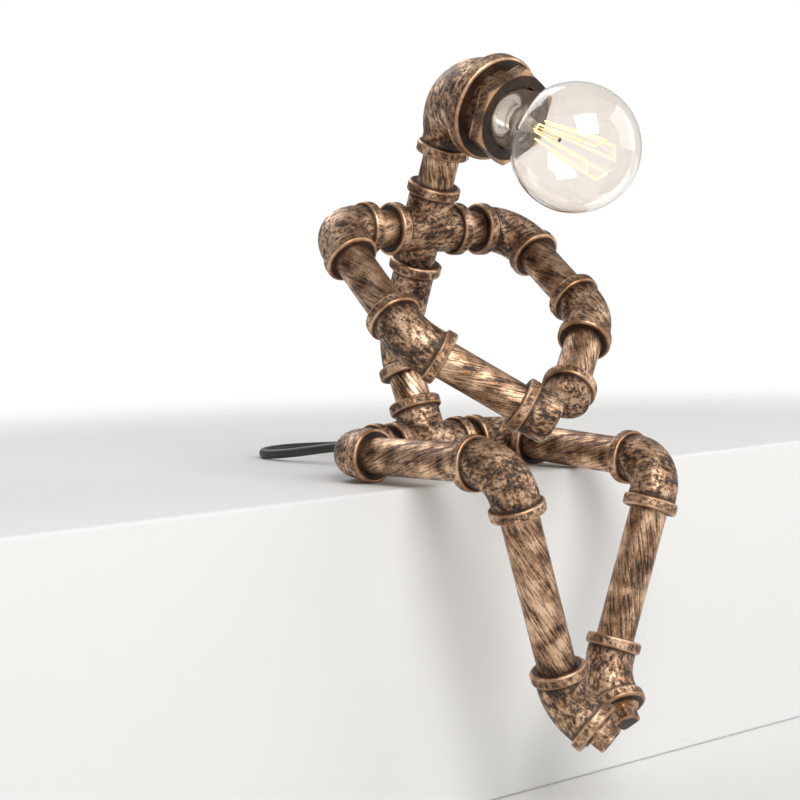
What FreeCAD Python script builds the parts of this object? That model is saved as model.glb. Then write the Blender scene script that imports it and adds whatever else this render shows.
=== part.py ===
import FreeCAD, Part
import math
import os

# Seated figure lamp built from screwed pipe fittings, with a bare bulb for a head.
# Frame: +Z up, the figure faces -Y, the hip line runs along X, its right side is at -X.
# Origin: on the seat plane, straight below the middle of the pelvis tee.
# All lengths are in millimetres and all angles in degrees.

V = FreeCAD.Vector
os.makedirs("parts", exist_ok=True)

# Pipe and fittings, the half inch size
PIPE_OD = 21.3
PIPE_WALL = 2.6
BEAD_OD = 31.0
BEAD_LENGTH = 6.5
BEAD_ROUND = 1.4
BODY_OD = 27.0
FITTING_WALL = 4.6
SEAT_DEPTH = 12.0
SEAT_RELIEF = 1.0
SCREW_FIT = 0.05
END_SQUARE = 28.0
END_HALF = 22.0
BEND_SQUARE = 19.0
BEND_HALF = 30.0

# Pelvis and legs
HIP_GAP = 7.5
THIGH_NEAR = 77.0
THIGH_FAR = 72.0
THIGH_DIP_NEAR = 0.0
THIGH_DIP_FAR = 4.0
KNEE_IN_NEAR = 17.0
KNEE_IN_FAR = 19.5
SHIN_NEAR = 88.0
SHIN_FAR = 74.0
TOE_TURN_NEAR = -15.5
TOE_TURN_FAR = 6.5
PLUG_HEAD = 12.5
PLUG_HEAD_LENGTH = 8.5
PLUG_FLANGE = 1.2

# Spine and chest
WAIST_LEAN = 21.6
WAIST_GAP = 16.0
SPINE_LOWER = 21.0
SPINE_UPPER = 53.0
SPINE_TURN = 45.0
SPINE_TWIST = -1.7
SPINE_BEND = 42.0
SPINE_BODY_OD = 24.5
CHEST_SPIGOT = 20.2
CHEST_SIDE = 26.0
CHEST_TWIST = -4.1

# Arms
SHOULDER_GAP = 12.9
SHOULDER_DROP_NEAR = 17.6
SHOULDER_DROP_FAR = 13.9
UPPER_ARM_NEAR = 44.8
UPPER_ARM_FAR = 38.1
ELBOW_TWIST_NEAR = -6.1
ELBOW_TWIST_FAR = 21.9
FOREARM_NEAR = 46.0
FOREARM_FAR = 35.2
CAP_NEAR = 23.0
CAP_FAR = 17.0
CAP_ROUND = 4.5

# Neck and head
NECK_GAP = 17.8
HEAD_RISE = 39.0
HEAD_BEND = 28.0
HEAD_TWIST = 4.8
HEAD_REACH = 34.7
HEAD_MOUTH_OD = 60.5
HEAD_MOUTH_BEAD = 9.0
HEAD_BODY_OD = 52.0
HEAD_WALL = 3.0
HEAD_SECTIONS = 7

# Hexagon bushing and lamp holder
BUSH_NECK = 7.0
HEX_FLATS = 48.5
HEX_THICK = 8.2
HEX_EDGE = 1.6
BUSH_INSIDE = 6.4
MOUTH_BORE = 37.0
HOLDER_OD = 34.8
HOLDER_LENGTH = 28.0
HOLDER_WALL = 3.2
HOLDER_FLOOR = 3.0
HOLDER_SET_BACK = 5.0
HOLDER_FIT = 0.1
SLEEVE_WALL = 0.6
SLEEVE_FIT = 0.15
CONTACT_OD = 8.0
CONTACT_THICK = 1.4

# Bulb
BULB_OD = 70.8
BULB_CENTRE = 98.5
BULB_NECK_OD = 34.6
BULB_WALL = 0.9
CAP_OD = 26.4
CAP_HEIGHT = 20.0
CAP_THREADS = 5
CAP_THREAD_DEEP = 0.7
CAP_TIP_OD = 9.0
CAP_TIP = 2.6
STEM_OD = 17.0
STEM_TOP_OD = 7.0
STEM_LENGTH = 20.0
STEM_ROD_OD = 2.6
STEM_ROD = 22.0
WIRE_OD = 1.0
HAIRPINS = 8
HAIRPIN_REAR = 72.0
HAIRPIN_CLEAR = 15.9
HAIRPIN_REAR_R = 6.0
HAIRPIN_FRONT_R = 11.0

# Cord, gland, switch and plug
CORD_OD = 6.0
FLOOR_CLEAR = 0.05
GLAND_OD = 13.0
GLAND_FLATS = 15.0
GLAND_START = 9.0
GLAND_DROP = 2.0
GLAND_SHOULDER = 17.3
GLAND_NUT = 4.0
GLAND_END = 24.5
GLAND_FIT = 0.05
CORD_FIT = 0.05
SWITCH_X = 63.0
SWITCH_Y = 88.5
SWITCH_LENGTH = 36.0
SWITCH_WIDTH = 21.0
SWITCH_HEIGHT = 11.6
SWITCH_ROUND = 3.0
SWITCH_SPLIT = 5.6
SWITCH_FLOOR = 2.0
SWITCH_GRIP = 5.0
ROCKER_LENGTH = 15.0
ROCKER_WIDTH = 9.0
ROCKER_DISH = 9.5
ROCKER_GAP = 0.4
ROCKER_DROP = 3.4
ROCKER_PROUD = 1.6
ROCKER_TILT = 8.0
ROCKER_PIN_OD = 2.0
ROCKER_PIN = 14.0
COIL_Y = 56.0
COIL_RADIUS = 45.0
COIL_STEP = 6.6
COIL_RISE = 6.55
COIL_IN_QUARTERS = 12
PLUG_Y = 90.0
PLUG_LENGTH = 35.0
PLUG_BACK = 9.5
PLUG_WIDTH = 26.0
PLUG_WAIST = 22.0
PLUG_THICK = 13.6
PLUG_NOSE_WIDTH = 31.0
PLUG_TAPER = 9.0
PLUG_ROUND = 3.0
PIN_OD = 4.0
PIN_LENGTH = 19.0
PIN_PITCH = 18.6
PIN_ROOT = 6.0
PIN_ROOT_OD = 3.2
PIN_NECK = 0.5

# Worked-out sizes
PIPE_R = PIPE_OD / 2
SEAT_R = PIPE_R + SCREW_FIT
BEAD_R = BEAD_OD / 2
BODY_R = BODY_OD / 2
BORE_R = BODY_R - FITTING_WALL
CORD_R = CORD_OD / 2
CORD_Z = CORD_R + FLOOR_CLEAR
COIL_X = SWITCH_X + COIL_RADIUS
X_AXIS = V(1, 0, 0)
Y_AXIS = V(0, 1, 0)
Z_AXIS = V(0, 0, 1)


def unit(v):
    """The vector of length one along v."""
    return v / v.Length


def deg_sin(angle):
    """Sine of an angle in degrees."""
    return math.sin(math.radians(angle))


def deg_cos(angle):
    """Cosine of an angle in degrees."""
    return math.cos(math.radians(angle))


def square_to(v, axis):
    """The part of v that is square to the unit axis, with length one."""
    return unit(v - axis * v.dot(axis))


def turned(axis, toward, twist, angle):
    """The direction axis, bent by angle toward another one that is first twisted about axis."""
    side = square_to(toward, axis)
    bent = side * deg_cos(twist) + axis.cross(side) * deg_sin(twist)
    return axis * deg_cos(angle) + bent * deg_sin(angle)


def placed(origin, first, second):
    """The matrix that moves the X and Y axes onto two square directions at origin."""
    third = first.cross(second)
    return FreeCAD.Matrix(first.x, second.x, third.x, origin.x, first.y, second.y, third.y, origin.y,
                          first.z, second.z, third.z, origin.z, 0, 0, 0, 1)


def rod(start, axis, length, radius):
    """A round bar that starts at a point."""
    return Part.makeCylinder(radius, length, start, axis)


def pipe_between(start, end):
    """A pipe that is screwed into the fitting faces at start and end."""
    axis = unit(end - start)
    first = start - axis * SEAT_DEPTH
    length = (end - start).Length + 2 * SEAT_DEPTH
    outer = rod(first, axis, length, PIPE_R)
    return outer.cut(rod(first, axis, length, PIPE_R - PIPE_WALL))


def revolved(start, axis, profile):
    """A solid turned about axis from (distance, radius) corners."""
    side = square_to(X_AXIS if abs(axis.x) < 0.8 else Y_AXIS, axis)
    points = [start + axis * along + side * out for along, out in profile]
    wire = Part.makePolygon(points + points[:1])
    return Part.Face(wire).revolve(start, axis, 360)


def bead(face, outward, radius=BEAD_R, length=BEAD_LENGTH, corner=BEAD_ROUND):
    """The rounded collar at the open end of a fitting, whose flat face is at face."""
    ring = rod(face - outward * length, outward, length, radius)
    return ring.makeFillet(corner, [e for e in ring.Edges if abs(e.Length - 2 * math.pi * radius) < 0.01
                                    and len(e.Vertexes) == 1])


def socket(face, outward):
    """The hole that a pipe screws into."""
    depth = SEAT_DEPTH + SEAT_RELIEF
    return rod(face - outward * depth, outward, depth + 1, SEAT_R)


def round_bend(corner, first, second, lengths, bend, radius):
    """A bent round bar along corner + first and corner + second, with its bend radius."""
    angle = math.degrees(first.getAngle(second))
    tangent = bend * math.tan(math.radians((180 - angle) / 2))
    start = corner + first * tangent
    end = corner + second * tangent
    inward = square_to(second, first)
    centre = start + inward * bend
    axis = (start - centre).cross(end - centre)
    disc = Part.Face(Part.Wire(Part.makeCircle(radius, start, first)))
    body = disc.revolve(centre, unit(axis), 180 - angle)
    body = body.fuse(rod(start, first, lengths[0] - tangent, radius))
    return body.fuse(rod(end, second, lengths[1] - tangent, radius)).removeSplitter()


def elbow(corner, first, second, lengths, bend, body_r=BODY_R):
    """An elbow with a bead and a socket at both ends; both directions point out of the fitting."""
    body = round_bend(corner, first, second, lengths, bend, body_r)
    for axis, length in ((first, lengths[0]), (second, lengths[1])):
        body = body.fuse(bead(corner + axis * length, axis))
    hole = round_bend(corner, first, second, lengths, bend, BORE_R)
    body = body.cut(hole)
    for axis, length in ((first, lengths[0]), (second, lengths[1])):
        body = body.cut(socket(corner + axis * length, axis))
    return body


def branches(centre, arms, spigot=None):
    """A tee or cross: arms are (direction, centre to end), spigot is a plain end to screw in."""
    body = Part.makeSphere(BODY_R, centre)
    for axis, length in arms:
        body = body.fuse(rod(centre, axis, length, BODY_R))
        body = body.fuse(bead(centre + axis * length, axis))
    if spigot:
        body = body.fuse(rod(centre, spigot[0], spigot[1] + SEAT_DEPTH, PIPE_R))
        body = body.cut(rod(centre, spigot[0], spigot[1] + SEAT_DEPTH, PIPE_R - PIPE_WALL))
    for axis, length in arms:
        body = body.cut(rod(centre, axis, length, PIPE_R - PIPE_WALL))
        body = body.cut(socket(centre + axis * length, axis))
    return body


def cap(face, axis, length):
    """A closed cap; face is its open end and axis points to the closed end."""
    body = rod(face, axis, length, BODY_R)
    rim = [e for e in body.Edges if len(e.Vertexes) == 1 and (e.CenterOfMass - face).dot(axis) > 1]
    body = body.makeFillet(CAP_ROUND, rim)
    return body.fuse(bead(face, axis * -1)).cut(socket(face, axis * -1))


def prism(centre, axis, side, sides, flats, length):
    """A bar with 4 or 6 flats, the first of which faces side."""
    corner = flats / 2 / math.cos(math.pi / sides)
    up = axis.cross(side)
    points = []
    for k in range(sides):
        angle = 2 * math.pi * (k + 0.5) / sides
        points.append(centre + side * (corner * math.cos(angle)) + up * (corner * math.sin(angle)))
    return Part.Face(Part.makePolygon(points + points[:1])).extrude(axis * length)


def toe_plug(face, axis, side):
    """A screwed plug with a square head, in the end of an ankle elbow."""
    stem = rod(face - axis * SEAT_DEPTH, axis, SEAT_DEPTH + PLUG_FLANGE, PIPE_R)
    head = prism(face + axis * PLUG_FLANGE, axis, side, 4, PLUG_HEAD, PLUG_HEAD_LENGTH)
    top = [e for e in head.Edges if (e.CenterOfMass - face).dot(axis) > PLUG_FLANGE + 1]
    return stem.fuse(head.makeChamfer(1.0, [e for e in top if e.Length < PLUG_HEAD + 0.1]))


def save(name, shape):
    """Write one named piece and say how big it is."""
    solid = shape.Solids[0] if len(shape.Solids) == 1 else shape
    solid.exportStep("parts/%s.step" % name)
    print("%-22s solids %d  volume %9.1f  valid %s"
          % (name, len(shape.Solids), shape.Volume, shape.isValid()))


def say_axis(name, point, axis):
    """Print where a joint turns or slides."""
    print("axis %-20s %9.3f %9.3f %9.3f  %8.5f %8.5f %8.5f"
          % (name, point.x, point.y, point.z, axis.x, axis.y, axis.z))


def make_leg(side, sign, thigh, dip, knee_in, shin, toe_turn):
    """One leg, from its hip nipple to the plug in its toe."""
    out = X_AXIS * sign
    tee_face = PELVIS + out * END_SQUARE
    hip_face = tee_face + out * HIP_GAP
    hip = hip_face + out * END_SQUARE
    forward = V(0, -deg_cos(dip), -deg_sin(dip))
    knee = hip + forward * (2 * END_SQUARE + thigh)
    down = turned(forward, Z_AXIS * -1, knee_in * -sign, 90)
    ankle = knee + down * (END_SQUARE + shin + END_HALF)
    toe = turned(down, Y_AXIS * -1, toe_turn * -sign, 45)
    toe_face = ankle + toe * END_HALF
    save("hip_nipple_" + side, pipe_between(tee_face, hip_face))
    save("hip_elbow_" + side, elbow(hip, out * -1, forward, (END_SQUARE, END_SQUARE), BEND_SQUARE))
    save("thigh_pipe_" + side, pipe_between(hip + forward * END_SQUARE, knee - forward * END_SQUARE))
    save("knee_elbow_" + side, elbow(knee, forward * -1, down, (END_SQUARE, END_SQUARE), BEND_SQUARE))
    save("shin_pipe_" + side, pipe_between(knee + down * END_SQUARE, ankle - down * END_HALF))
    save("ankle_elbow_" + side, elbow(ankle, down * -1, toe, (END_HALF, END_HALF), BEND_HALF))
    save("toe_plug_" + side, toe_plug(toe_face, toe, square_to(down, toe)))
    say_axis("hip_" + side, hip_face, out)
    say_axis("knee_" + side, knee - forward * END_SQUARE, forward)
    say_axis("ankle_" + side, ankle - down * END_HALF, down)


def make_arm(side, sign, drop, upper, twist, fore, cap_length):
    """One arm, from its shoulder nipple to the cap that is its hand."""
    out = ACROSS * sign
    chest_face = CHEST + out * CHEST_SIDE
    shoulder_face = chest_face + out * SHOULDER_GAP
    shoulder = shoulder_face + out * END_SQUARE
    arm = CHEST_FRONT * deg_cos(drop) - UPPER_AXIS * deg_sin(drop)
    elbow_point = shoulder + arm * (END_SQUARE + upper + END_HALF)
    lower = turned(arm, out * -1, twist, 45)
    wrist = elbow_point + lower * (END_HALF + fore)
    save("shoulder_nipple_" + side, pipe_between(chest_face, shoulder_face))
    save("shoulder_elbow_" + side, elbow(shoulder, out * -1, arm, (END_SQUARE, END_SQUARE), BEND_SQUARE))
    save("upper_arm_pipe_" + side, pipe_between(shoulder + arm * END_SQUARE, elbow_point - arm * END_HALF))
    save("arm_elbow_" + side, elbow(elbow_point, arm * -1, lower, (END_HALF, END_HALF), BEND_HALF))
    save("forearm_pipe_" + side, pipe_between(elbow_point + lower * END_HALF, wrist))
    save("hand_cap_" + side, cap(wrist, lower, cap_length))
    say_axis("shoulder_" + side, shoulder_face, out)
    say_axis("elbow_" + side, elbow_point - arm * END_HALF, arm)
    say_axis("hand_" + side, wrist, lower)


def head_sections(neck_r, mouth_r):
    """Circles along the quarter bend of the head, growing from the neck to the mouth."""
    wires = []
    start = HEAD - UPPER_AXIS * HEAD_BEND
    centre = start + GAZE * HEAD_BEND
    for k in range(HEAD_SECTIONS):
        share = k / (HEAD_SECTIONS - 1)
        angle = 90 * share
        point = centre - GAZE * (HEAD_BEND * deg_cos(angle)) + UPPER_AXIS * (HEAD_BEND * deg_sin(angle))
        heading = UPPER_AXIS * deg_cos(angle) + GAZE * deg_sin(angle)
        radius = neck_r + (mouth_r - neck_r) * deg_sin(angle)
        ring = Part.Wire(Part.makeCircle(radius))
        wires.append(ring.transformed(placed(point, HEAD_SIDE, heading.cross(HEAD_SIDE))))
    return wires


def make_head():
    """The reducing elbow that is the head, and the bushing in its mouth."""
    mouth_r = HEAD_BODY_OD / 2
    bead_face = HEAD - UPPER_AXIS * HEAD_RISE
    bend_start = HEAD - UPPER_AXIS * HEAD_BEND
    bend_end = HEAD + GAZE * HEAD_BEND
    reach = HEAD_REACH - HEAD_BEND
    body = Part.makeLoft(head_sections(BODY_R, mouth_r), True)
    body = body.fuse(rod(bead_face, UPPER_AXIS, HEAD_RISE - HEAD_BEND, BODY_R))
    body = body.fuse(rod(bend_end, GAZE, reach, mouth_r))
    body = body.fuse(bead(bead_face, UPPER_AXIS * -1))
    body = body.fuse(bead(HEAD + GAZE * HEAD_REACH, GAZE, HEAD_MOUTH_OD / 2, HEAD_MOUTH_BEAD, 2.0))
    hollow_r = mouth_r - HEAD_WALL
    body = body.cut(Part.makeLoft(head_sections(BORE_R, hollow_r), True))
    body = body.cut(rod(bead_face, UPPER_AXIS, HEAD_RISE - HEAD_BEND, BORE_R))
    body = body.cut(rod(bend_end, GAZE, reach, hollow_r))
    body = body.cut(socket(bead_face, UPPER_AXIS * -1))
    save("head_elbow", body)

    barrel_r = hollow_r - SCREW_FIT
    barrel_start = HEAD + GAZE * (HEAD_REACH - BUSH_INSIDE)
    hex_start = HEAD_REACH + BUSH_NECK
    hexagon = prism(HEAD + GAZE * hex_start, GAZE, HEAD_SIDE, 6, HEX_FLATS, HEX_THICK)
    corner_r = HEX_FLATS / 2 / math.cos(math.pi / 6)
    trim = revolved(HEAD + GAZE * hex_start, GAZE,
                    [(0, 0), (0, corner_r - HEX_EDGE / 2), (HEX_EDGE / 2, corner_r),
                     (HEX_THICK - HEX_EDGE / 2, corner_r), (HEX_THICK, corner_r - HEX_EDGE), (HEX_THICK, 0)])
    bush = hexagon.common(trim).fuse(rod(barrel_start, GAZE, BUSH_INSIDE + BUSH_NECK, barrel_r))
    mouth = HEAD_REACH + BUSH_NECK + HEX_THICK
    holder_end = mouth - HOLDER_SET_BACK
    bush = bush.cut(rod(barrel_start, GAZE, holder_end - HEAD_REACH + BUSH_INSIDE, HOLDER_OD / 2 + HOLDER_FIT))
    bush = bush.cut(rod(HEAD + GAZE * holder_end, GAZE, HOLDER_SET_BACK, MOUTH_BORE / 2))
    save("hex_bushing", bush)
    say_axis("neck", bead_face, UPPER_AXIS)
    return holder_end


def make_holder(holder_end):
    """The lamp holder inside the head, with its screw sleeve and its contact."""
    back = holder_end - HOLDER_LENGTH
    cavity_r = HOLDER_OD / 2 - HOLDER_WALL
    cavity = back + HOLDER_FLOOR
    holder = rod(HEAD + GAZE * back, GAZE, HOLDER_LENGTH, HOLDER_OD / 2)
    holder = holder.cut(rod(HEAD + GAZE * cavity, GAZE, HOLDER_LENGTH, cavity_r))
    save("lamp_holder", holder)
    sleeve_r = CAP_OD / 2 + SLEEVE_FIT
    sleeve_length = holder_end - cavity - 1
    sleeve = rod(HEAD + GAZE * cavity, GAZE, sleeve_length, sleeve_r + SLEEVE_WALL)
    sleeve = sleeve.cut(rod(HEAD + GAZE * cavity, GAZE, sleeve_length, sleeve_r))
    save("holder_sleeve", sleeve)
    save("holder_contact", rod(HEAD + GAZE * cavity, GAZE, CONTACT_THICK, CONTACT_OD / 2))
    return cavity + CONTACT_THICK


def envelope(offset, start, start_r):
    """The bulb's outline turned about the gaze axis, drawn in by offset."""
    sphere_r = BULB_OD / 2 - offset
    neck_r = BULB_NECK_OD / 2 - offset
    neck = HEAD_REACH + BUSH_NECK + HEX_THICK
    span = BULB_CENTRE - neck
    flare = (span ** 2 + neck_r ** 2 - sphere_r ** 2) / (2 * (sphere_r - neck_r))
    flare_mid = V(neck, neck_r + flare, 0)
    centre = V(BULB_CENTRE, 0, 0)
    touch = centre + unit(flare_mid - centre) * sphere_r
    half = unit(unit(touch - flare_mid) + V(0, -1, 0))
    arc_mid = flare_mid + half * flare
    tip = V(BULB_CENTRE + sphere_r, 0, 0)
    crown = centre + unit(unit(touch - centre) + V(1, 0, 0)) * sphere_r
    edges = [
        Part.makeLine(V(start, 0, 0), V(start, start_r - offset, 0)),
        Part.makeLine(V(start, start_r - offset, 0), V(neck, neck_r, 0)),
        Part.Arc(V(neck, neck_r, 0), arc_mid, touch).toShape(),
        Part.Arc(touch, crown, tip).toShape(),
        Part.makeLine(tip, V(start, 0, 0)),
    ]
    solid = Part.Face(Part.Wire(edges)).revolve(V(0, 0, 0), X_AXIS, 360)
    return solid.transformed(placed(HEAD, GAZE, UPPER_AXIS))


def make_bulb(tip_start):
    """The bulb: its metal cap, tip contact, glass, stem and hairpin filament."""
    cap_r = CAP_OD / 2
    cap_start = tip_start + CAP_TIP
    pitch = CAP_HEIGHT / CAP_THREADS
    profile = [(0, 0), (0, CAP_TIP_OD / 2), (pitch / 2, cap_r - CAP_THREAD_DEEP)]
    for k in range(CAP_THREADS):
        base = pitch * (k + 0.5)
        if base + pitch * 0.5 <= CAP_HEIGHT:
            profile.append((base + pitch * 0.25, cap_r))
            profile.append((base + pitch * 0.5, cap_r - CAP_THREAD_DEEP))
    profile.append((CAP_HEIGHT, cap_r - CAP_THREAD_DEEP))
    profile.append((CAP_HEIGHT, 0))
    save("bulb_cap", revolved(HEAD + GAZE * cap_start, GAZE, profile))
    save("bulb_contact", rod(HEAD + GAZE * (tip_start + 0.1), GAZE, CAP_TIP - 0.1, CAP_TIP_OD / 2 - 1))

    glass_start = cap_start + CAP_HEIGHT
    start_r = cap_r - CAP_THREAD_DEEP
    glass = envelope(0, glass_start, start_r).cut(envelope(BULB_WALL, glass_start, start_r))
    save("bulb_glass", glass)

    stem = revolved(HEAD + GAZE * glass_start, GAZE,
                    [(0, 0), (0, STEM_OD / 2), (STEM_LENGTH * 0.3, STEM_OD / 2 - 1.5),
                     (STEM_LENGTH, STEM_TOP_OD / 2), (STEM_LENGTH, STEM_ROD_OD / 2),
                     (STEM_LENGTH + STEM_ROD, STEM_ROD_OD / 2), (STEM_LENGTH + STEM_ROD, 0)])
    save("bulb_stem", stem)

    wire_r = WIRE_OD / 2
    points = []
    for k in range(HAIRPINS):
        angle = 360.0 * k / HAIRPINS
        out = HEAD_SIDE * deg_cos(angle) + UPPER_AXIS * deg_sin(angle)
        rear = HEAD + GAZE * HAIRPIN_REAR + out * HAIRPIN_REAR_R
        front = HEAD + GAZE * (BULB_CENTRE + BULB_OD / 2 - HAIRPIN_CLEAR) + out * HAIRPIN_FRONT_R
        points += [rear, front] if k % 2 == 0 else [front, rear]
    wire = None
    for start, end in zip(points, points[1:]):
        leg = rod(start, unit(end - start), (end - start).Length, wire_r).fuse(Part.makeSphere(wire_r, end))
        wire = leg if wire is None else wire.fuse(leg)
    hub = HEAD + GAZE * HAIRPIN_REAR
    for end in (points[0], points[-1]):
        out = square_to(end - hub, GAZE)
        start = hub - GAZE * 8 + out * (STEM_ROD_OD / 2 - 0.2 + wire_r)
        wire = wire.fuse(rod(start, unit(end - start), (end - start).Length, wire_r))
    save("bulb_filament", wire.cut(stem))
    say_axis("bulb", HEAD + GAZE * cap_start, GAZE)


def rounded_route(points):
    """Straight runs joined by tangent arcs, each arc as large as its two runs allow."""
    edges = []
    radii = []
    here = points[0]
    length = 0.0
    for k in range(1, len(points) - 1):
        before = points[k - 1] - points[k]
        after = points[k + 1] - points[k]
        half_turn = (math.pi - before.getAngle(after)) / 2
        cut = 0.45 * min(before.Length, after.Length)
        radius = cut / math.tan(half_turn)
        start = points[k] + unit(before) * cut
        end = points[k] + unit(after) * cut
        centre = points[k] + unit(unit(before) + unit(after)) * math.hypot(radius, cut)
        middle = centre + unit(points[k] - centre) * radius
        edges.append(Part.LineSegment(here, start).toShape())
        edges.append(Part.Arc(start, middle, end).toShape())
        length += (start - here).Length + radius * 2 * half_turn
        radii.append(radius)
        here = end
    edges.append(Part.LineSegment(here, points[-1]).toShape())
    length += (points[-1] - here).Length
    return Part.Wire(edges), length, radii


def tube_along(wire, start, heading, radius):
    """A round tube along a wire that leaves start with the given heading."""
    profile = Part.Wire(Part.makeCircle(radius, start, heading))
    return wire.makePipeShell([profile], True, False)


def cord_tube(name, points):
    """One free stretch of the cord, with its radii and its volume compared."""
    wire, length, radii = rounded_route(points)
    tube = tube_along(wire, points[0], unit(points[1] - points[0]), CORD_R)
    ideal = math.pi * CORD_R ** 2 * length
    print("%s length %.1f least radius %.1f radii %s" % (name, length, min(radii), [round(r) for r in radii]))
    print("%s volume over section times length %.5f" % (name, tube.Volume / ideal))
    save(name, tube)
    return length


def coil_point(quarter):
    """The cord's middle after so many quarter turns of the coil, from its left side."""
    last = 2 * COIL_IN_QUARTERS + 2
    inward = min(quarter, last - quarter, COIL_IN_QUARTERS + 0.6)
    radius = COIL_RADIUS - COIL_STEP * inward / 4
    angle = 180 + 90 * quarter
    climb = min(max((quarter - COIL_IN_QUARTERS) / 2, 0), 1)
    height = CORD_Z + COIL_RISE * climb
    return V(COIL_X + radius * deg_cos(angle), COIL_Y + radius * deg_sin(angle), height)


def make_coil():
    """The outer shape of the coil, a flat ring of two layers, open where the cord comes and goes."""
    quarters = 2 * COIL_IN_QUARTERS + 2
    points = [coil_point(k / 16) for k in range(16 * quarters + 1)]
    length = sum((b - a).Length for a, b in zip(points, points[1:])) + 2 * CORD_OD
    inner = COIL_RADIUS - COIL_STEP * (COIL_IN_QUARTERS + 0.6) / 4 - CORD_R
    outer = COIL_RADIUS + CORD_R
    height = COIL_RISE + CORD_OD
    low = V(COIL_X, COIL_Y, FLOOR_CLEAR)
    ring = rod(low, Z_AXIS, height, outer).cut(rod(low, Z_AXIS, height, inner))
    edge = COIL_RADIUS - CORD_R - CORD_FIT
    for sign in (-1, 1):
        corner = V(COIL_X + min(sign * edge, sign * outer * 2), COIL_Y + CORD_OD, FLOOR_CLEAR)
        ring = ring.cut(Part.makeBox(2 * outer - edge, outer, height, corner))
    save("cord_coil", ring)
    print("cord_coil turns %.1f cord in it %.1f" % (quarters / 4, length))
    start = V(COIL_X - COIL_RADIUS, COIL_Y + CORD_OD, CORD_Z)
    end = V(COIL_X + COIL_RADIUS, COIL_Y + CORD_OD, CORD_Z + COIL_RISE)
    return start, Y_AXIS * -1, end, Y_AXIS, length


def make_gland():
    """The cord gland in the back of the pelvis tee, and the hole it needs."""
    body = rod(GLAND + Y_AXIS * GLAND_START, Y_AXIS, GLAND_END - GLAND_START - 2, GLAND_OD / 2)
    nut = prism(GLAND + Y_AXIS * GLAND_SHOULDER, Y_AXIS, Z_AXIS, 6, GLAND_FLATS, GLAND_NUT)
    dome = revolved(GLAND + Y_AXIS * (GLAND_SHOULDER + GLAND_NUT), Y_AXIS,
                    [(0, 0), (0, GLAND_OD / 2), (1, GLAND_OD / 2),
                     (GLAND_END - GLAND_SHOULDER - GLAND_NUT, CORD_R + 1.2),
                     (GLAND_END - GLAND_SHOULDER - GLAND_NUT, 0)])
    hole = rod(GLAND + Y_AXIS * GLAND_START, Y_AXIS, GLAND_END, CORD_R + CORD_FIT)
    save("cord_gland", body.fuse(nut).fuse(dome).cut(hole))
    return rod(GLAND, Y_AXIS, BEAD_OD, GLAND_OD / 2 + GLAND_FIT)


def rounded_box(low, high, corner, axis):
    """A box whose edges along axis are rounded."""
    size = high - low
    box = Part.makeBox(size.x, size.y, size.z, low)
    edges = [e for e in box.Edges if abs(unit(e.Vertexes[1].Point - e.Vertexes[0].Point).dot(axis)) > 0.9]
    return box.makeFillet(corner, edges)


def make_switch():
    """The switch in the cord, with its base, cover and rocker."""
    half = SWITCH_WIDTH / 2
    low = V(SWITCH_X - half, SWITCH_Y, 0)
    high = V(SWITCH_X + half, SWITCH_Y + SWITCH_LENGTH, SWITCH_HEIGHT)
    shell = rounded_box(low, high, SWITCH_ROUND, Z_AXIS)
    shell = shell.cut(rod(V(SWITCH_X, SWITCH_Y, SWITCH_SPLIT), Y_AXIS, SWITCH_LENGTH, CORD_R + CORD_FIT))
    lower = Part.makeBox(SWITCH_WIDTH, SWITCH_LENGTH, SWITCH_SPLIT, low)
    pivot = V(SWITCH_X, SWITCH_Y + SWITCH_LENGTH / 2, SWITCH_HEIGHT - ROCKER_DROP)
    room = V(ROCKER_WIDTH / 2 + ROCKER_GAP, ROCKER_LENGTH / 2 + ROCKER_GAP, 0)
    window = Part.makeBox(2 * room.x, 2 * room.y, SWITCH_HEIGHT, pivot - room + Z_AXIS * (SWITCH_FLOOR - pivot.z))
    pin_start = pivot - X_AXIS * (ROCKER_PIN / 2)
    pin_hole = rod(pin_start - X_AXIS * ROCKER_GAP, X_AXIS, ROCKER_PIN + 2 * ROCKER_GAP,
                   ROCKER_PIN_OD / 2 + SCREW_FIT)
    save("switch_base", shell.common(lower).cut(window))
    save("switch_cover", shell.cut(lower).cut(window).cut(pin_hole))

    top = ROCKER_DROP + ROCKER_PROUD
    block = Part.makeBox(ROCKER_WIDTH, ROCKER_LENGTH, top + ROCKER_PIN_OD,
                         pivot - V(ROCKER_WIDTH / 2, ROCKER_LENGTH / 2, ROCKER_PIN_OD))
    dish = rod(pivot + V(-ROCKER_WIDTH, 0, ROCKER_DISH + ROCKER_DROP), X_AXIS, 2 * ROCKER_WIDTH, ROCKER_DISH)
    limit = rod(pivot - X_AXIS * ROCKER_WIDTH, X_AXIS, 2 * ROCKER_WIDTH, ROCKER_LENGTH / 2)
    pin = rod(pin_start, X_AXIS, ROCKER_PIN, ROCKER_PIN_OD / 2)
    rocker = block.common(limit).cut(dish).fuse(pin)
    rocker.rotate(pivot, X_AXIS, ROCKER_TILT)
    save("switch_rocker", rocker)
    say_axis("rocker", pivot, X_AXIS)


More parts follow.
